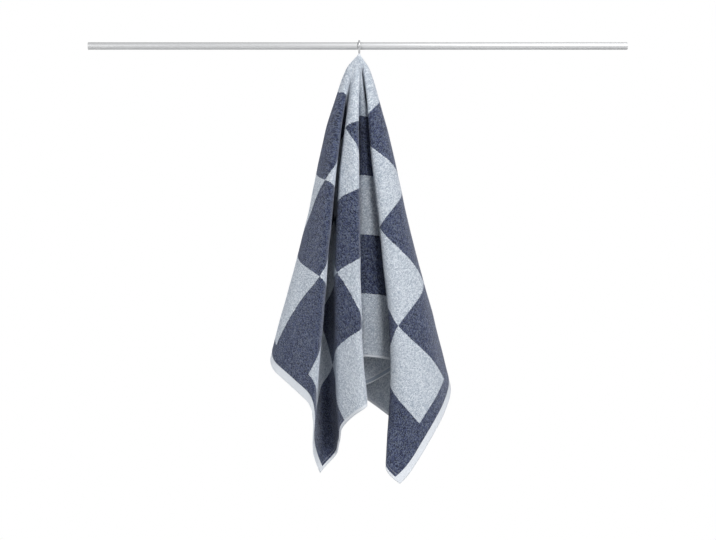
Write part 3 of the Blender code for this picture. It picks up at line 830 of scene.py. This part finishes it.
# %% The terry finish
def terry(name, even_is_light):
    """The woven face of the towel, or with even_is_light False its reverse."""
    finish = Finish(name)
    flat = finish.add("ShaderNodeUVMap", {"uv_map": "flat_cloth"})
    across = finish.add("ShaderNodeSeparateXYZ", {}, {0: flat}, 0) - TOWEL_WIDTH / 2
    down = finish.add("ShaderNodeSeparateXYZ", {}, {0: flat}, 1)
    height, clump, chance, other_chance = terry_loops(finish, across, down)
    light = light_checks(across, down, chance, other_chance, even_is_light)
    pile = pile_colour(finish, height, clump, chance, other_chance, light)

    # flat-woven ends and turned hems have no pile
    side_gap = TOWEL_WIDTH / 2 - abs(across)
    long_gap = down.at_most(TOWEL_HEIGHT - down)
    border = side_gap < BORDER_WIDTH
    hem = long_gap < (HEM_WIDTH if even_is_light else TURNED_HEM)
    plain = border.at_least(hem)
    thread_place = finish.vector(across / BORDER_THREADS, down / BORDER_THREADS)
    threads = {"Vector": thread_place, "Scale": 1.0, "Detail": 1.0}
    weave = finish.add("ShaderNodeTexNoise", {"noise_dimensions": "2D"}, threads)
    rib = abs((down / BORDER_THREADS) % 1.0 - 0.5) * 2.0
    cloth = finish.mix((weave + rib * RIB_SHADE).at_most(1.0), BORDER_GAP, BORDER_YARN)

    # the stitches that hold each long hem
    stitch_line = abs(long_gap - STITCH_FROM_EDGE) < STITCH_WIDTH / 2
    stitch_on = (across / STITCH_LENGTH) % 1.0 < STITCH_ON_TOP
    stitch = stitch_line * stitch_on * (1.0 - border)
    pile = finish.mix(stitch * STITCH_SHOWS, pile, BORDER_YARN)
    if not even_is_light:
        turned = (long_gap > FOLD_LINE) * (long_gap < TURNED_HEM - FOLD_LINE)
        cloth = finish.mix(turned * (1.0 - border), cloth, HEM_BACK)
    colour = finish.mix(plain, pile, cloth)

    pile_relief = height * LOOP_HEIGHT + clump * CLUMP_RELIEF
    flat_relief = rib * RIB_RELIEF + weave * WEAVE_RELIEF - stitch * STITCH_SINKS
    relief = pile_relief * (1.0 - plain) + flat_relief * plain
    bump_values = {"Height": relief, "Distance": 1.0, "Strength": 1.0}
    bump = finish.add("ShaderNodeBump", {}, bump_values)
    return finish.surface(
        Base_Color=colour,
        Roughness=0.95,
        Normal=bump,
        Sheen_Weight=0.4,
        Sheen_Roughness=0.5,
        Sheen_Tint=SHEEN_TINT,
        Specular_IOR_Level=0.15,
    )


towel.data.materials[0] = terry("Terry face", True)
towel.data.materials[1] = terry("Terry reverse", False)
sides = np.empty(len(towel.data.polygons), dtype=np.int32)
towel.data.polygons.foreach_get("material_index", sides)
print("faces on the face and on the reverse", np.bincount(sides))

# %% [markdown]
# ## Steel
#
# The rail is brushed along its length, so its scratches are long and thin: a noise texture
# squeezed hard in X. They change the roughness a little and nudge the normal. The hook is
# drawn wire, brighter and smoother, with only faint marks.

# %% The rail's and the hook's finish
# change is how much the marks change the roughness, and the last three are a mark's sizes
STEEL_COLUMNS = "colour metallic roughness change long wide depth".split()
STEELS = {
    "Satin rail steel": (srgb(212, 213, 214), 0.3, 0.5, 0.12, 60 * MM, 0.35 * MM, 0.01 * MM),
    "Hook wire": (srgb(214, 215, 217), 0.5, 0.32, 0.08, 4 * MM, 0.5 * MM, 0.01 * MM),
}
DARK_MARK = 0.86  # share of the colour's light in the deepest mark


def steel(name, colour, metallic, roughness, change, long, wide, depth):
    """Steel with fine marks that run along X."""
    finish = Finish(name)
    place = finish.add("ShaderNodeTexCoord", {}, {}, 3)
    size = (1 / long, 1 / wide, 1 / wide)
    stretched = finish.add("ShaderNodeMapping", {}, {"Vector": place, "Scale": size})
    marks_values = {"Vector": stretched, "Scale": 1.0, "Detail": 4.0}
    marks = finish.add("ShaderNodeTexNoise", {}, marks_values)
    rough = marks * change + (roughness - change / 2)
    bump_values = {"Height": marks * depth, "Distance": 1.0, "Strength": 1.0}
    bump = finish.add("ShaderNodeBump", {}, bump_values)
    darker = tuple(DARK_MARK * c for c in colour[:3]) + (1.0,)
    tone = finish.mix(marks, darker, colour)
    return finish.surface(Base_Color=tone, Metallic=metallic, Roughness=rough, Normal=bump)


for piece, name in ((rail, "Satin rail steel"), (hook, "Hook wire")):
    piece.data.materials.clear()
    piece.data.materials.append(steel(name, *STEELS[name]))
    print(name, dict(zip(STEEL_COLUMNS[1:], STEELS[name][1:])))

# %% [markdown]
# ## Floor, light and camera
#
# The key light is a large soft panel high on the right, so the folds shade towards the
# left. A weaker panel on the left keeps that side from going black, and one further round
# lightens the outline there and the back. A faint one close behind stands for the light
# that a pale wall throws back, which catches in the pile. The world is dim, or the deep
# folds would be too pale. A pale floor lies well below, out of the camera's view. The
# camera looks straight along Y from three metres away, level with the middle of the towel.
# Its lens gives the photo's frame: 716 pixels of the photo are about 1.18 m at the rail.

# %% Floor
FLOOR_Z = -1.05
FLOOR_RADIUS = 1.4
FLOOR_SIDES = 96

floor_finish = Finish("Pale floor").surface(Base_Color=srgb(238, 238, 238), Roughness=0.8)
bpy.ops.object.select_all(action="DESELECT")
bpy.ops.mesh.primitive_circle_add(
    vertices=FLOOR_SIDES, radius=FLOOR_RADIUS, fill_type="NGON", location=(HOOK_X, 0, FLOOR_Z)
)
floor = bpy.context.object
floor.name = "floor"
floor.data.materials.append(floor_finish)

# %% Light
LOOK_AT = Vector((HOOK_X, 0, -0.35))  # the middle of the towel
# azimuth from straight in front, positive to the right, and height are in degrees,
# distance and size in metres, and power in watts
LIGHT_COLUMNS = "azimuth height distance size power".split()
LIGHTS = {
    "key light": (36.0, 34.0, 3.0, 1.4, 104.0),
    "left light": (-55.0, 10.0, 3.0, 1.4, 44.0),
    "rim light": (-115.0, 8.0, 3.0, 1.6, 34.0),
    "wall light": (180.0, 0.0, 0.5, 1.3, 2.0),
}


def soft_panel(name, azimuth, height, distance, size, power):
    """A square light that faces the towel and isn't seen itself."""
    light = bpy.data.lights.new(name, "AREA")
    light.shape = "SQUARE"
    light.size = size
    light.energy = power
    panel = bpy.data.objects.new(name, light)
    turn = math.radians(azimuth)
    rise = math.radians(height)
    level = math.cos(rise)
    way = Vector((math.sin(turn) * level, -math.cos(turn) * level, math.sin(rise)))
    panel.location = LOOK_AT + way * distance
    panel.rotation_euler = (-way).to_track_quat("-Z", "Y").to_euler()
    panel.visible_camera = False
    bpy.context.scene.collection.objects.link(panel)


for name, row in LIGHTS.items():
    soft_panel(name, *row)
    print(name, dict(zip(LIGHT_COLUMNS, row)))

# %% World
WORLD_LIGHT = 0.06  # what falls on the pieces; the camera itself sees plain white

world = bpy.data.worlds.new("Pale studio")
bpy.context.scene.world = world
world.use_nodes = True
nodes = world.node_tree.nodes
links = world.node_tree.links
nodes.clear()
seen = nodes.new("ShaderNodeLightPath")
white = nodes.new("ShaderNodeBackground")
white.inputs["Strength"].default_value = 1.0
white.inputs["Color"].default_value = (1, 1, 1, 1)
dim = nodes.new("ShaderNodeBackground")
dim.inputs["Color"].default_value = srgb(240, 243, 250)
dim.inputs["Strength"].default_value = WORLD_LIGHT
both = nodes.new("ShaderNodeMixShader")
out = nodes.new("ShaderNodeOutputWorld")
links.new(seen.outputs["Is Camera Ray"], both.inputs[0])
links.new(dim.outputs[0], both.inputs[1])
links.new(white.outputs[0], both.inputs[2])
links.new(both.outputs[0], out.inputs[0])
bpy.context.scene.view_settings.view_transform = "Standard"
print("world light", WORLD_LIGHT)

# %% Camera
PIXELS_ACROSS = 716  # of the photo, as are the rows and columns here
PIXELS_A_METRE = 606.0
CENTRE_COLUMN = 358.0
CENTRE_ROW = 270.0
HOOK_COLUMN = 359.2
RAIL_ROW = 46.0
CAMERA_DISTANCE = 3.0
SENSOR = 36.0

lens = bpy.data.cameras.new("camera")
lens.sensor_width = SENSOR
lens.lens = SENSOR * CAMERA_DISTANCE * PIXELS_A_METRE / PIXELS_ACROSS
camera = bpy.data.objects.new("camera", lens)
camera.location = (
    HOOK_X + (CENTRE_COLUMN - HOOK_COLUMN) / PIXELS_A_METRE,
    -CAMERA_DISTANCE,
    (RAIL_ROW - CENTRE_ROW) / PIXELS_A_METRE,
)
camera.rotation_euler = (math.radians(90), 0, 0)
bpy.context.scene.collection.objects.link(camera)
bpy.context.scene.camera = camera
print("lens", round(lens.lens, 1), "mm")
